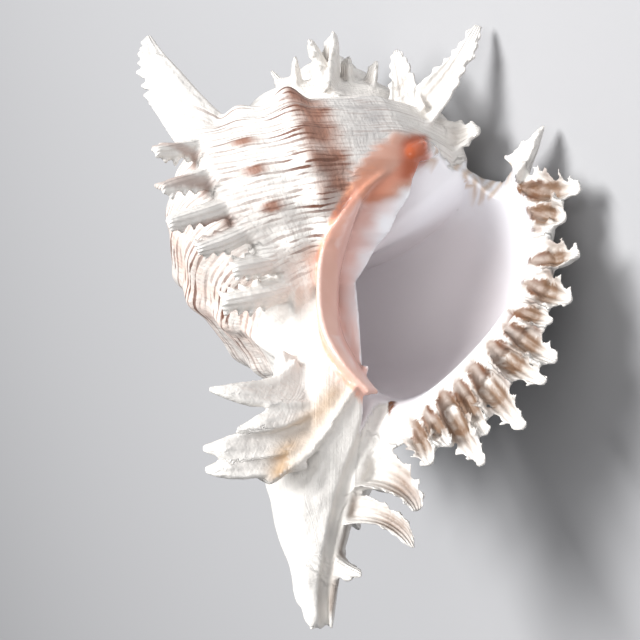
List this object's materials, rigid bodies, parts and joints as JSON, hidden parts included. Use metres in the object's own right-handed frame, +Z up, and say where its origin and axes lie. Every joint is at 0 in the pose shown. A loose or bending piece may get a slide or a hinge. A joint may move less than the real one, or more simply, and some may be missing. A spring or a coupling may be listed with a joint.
{
  "type": "murex shell",
  "caption": "Large spiny sea snail shell with a wide smooth opening, frilled fronds in rows along the coil and a tapering open canal, lying at rest.",
  "frame": {"origin": "middle of the bounding box at the height of the resting points", "axes": "+Z up from the surface it lies on, +Y along the coil axis over the floor toward the apex, +X to the right of that, on the side of the lip"},
  "size_m": [0.1602, 0.2126, 0.1304],
  "materials": {
    "shell": "chalky white shell with brown spiral lines, glossy porcelain white and pink-orange inside the opening"
  },
  "bodies": {
    "root": {"murex_shell": "shell"}
  },
  "joints": []
}
